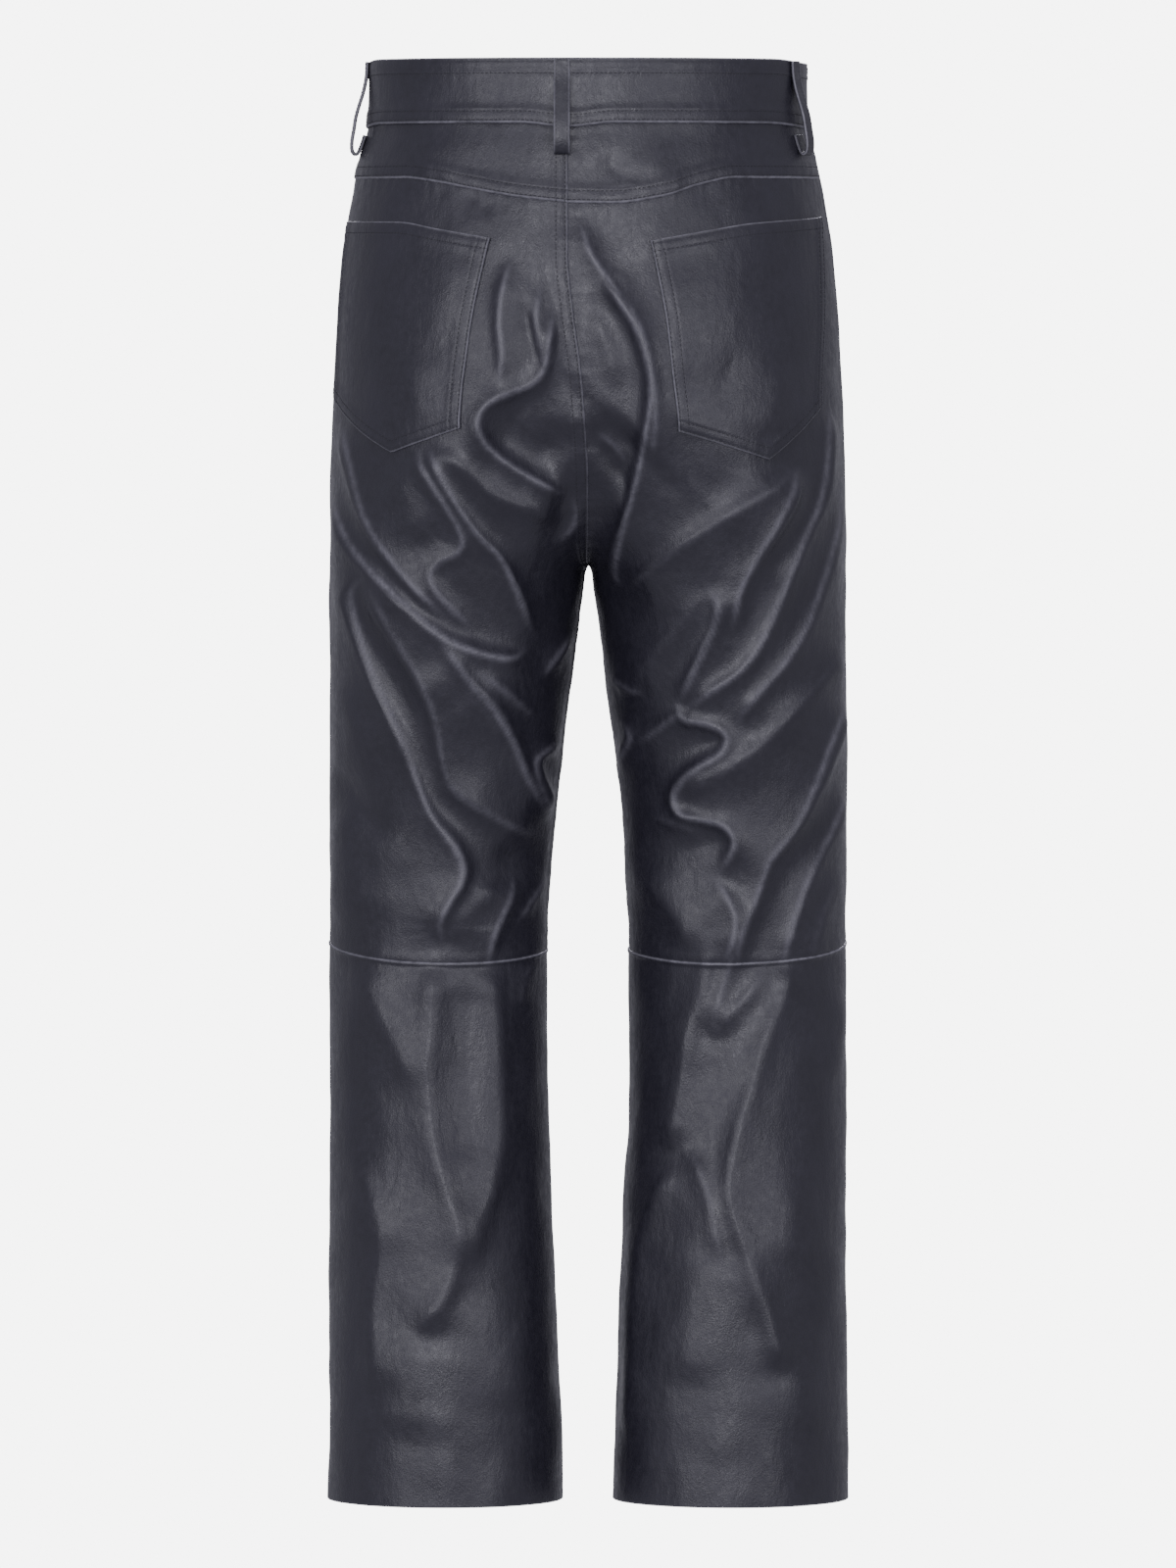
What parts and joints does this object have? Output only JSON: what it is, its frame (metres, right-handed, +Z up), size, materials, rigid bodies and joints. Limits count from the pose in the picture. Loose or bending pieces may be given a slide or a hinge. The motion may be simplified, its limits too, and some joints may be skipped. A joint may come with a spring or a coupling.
{
  "type": "leather trousers",
  "caption": "Straight-leg leather trousers with a waistband, back yoke, patch pockets, knee seams and belt loops, hollow and filled out as worn",
  "frame": {"origin": "middle of the waist opening, at half the height of the waistband at the centre back", "axes": "+Z up along the legs from hem to waist, -Y the way the back faces, +X the wearer's right"},
  "size_m": [0.375, 0.2475, 1.0342],
  "materials": {
    "leather": "soft grained dark slate leather",
    "zip_tape": "woven tape",
    "metal": "aged metal"
  },
  "bodies": {
    "root": {"waistband": "leather", "yoke_left": "leather", "yoke_right": "leather", "back_left": "leather", "back_right": "leather", "back_left_lower": "leather", "back_right_lower": "leather", "front_left": "leather", "front_right": "leather", "front_left_lower": "leather", "front_right_lower": "leather", "pocket_left": "leather", "pocket_right": "leather", "loop_centre": "leather", "loop_left": "leather", "loop_right": "leather", "zip_tape": "zip_tape", "zip_slider": "metal", "waist_button": "metal"}
  },
  "joints": []
}
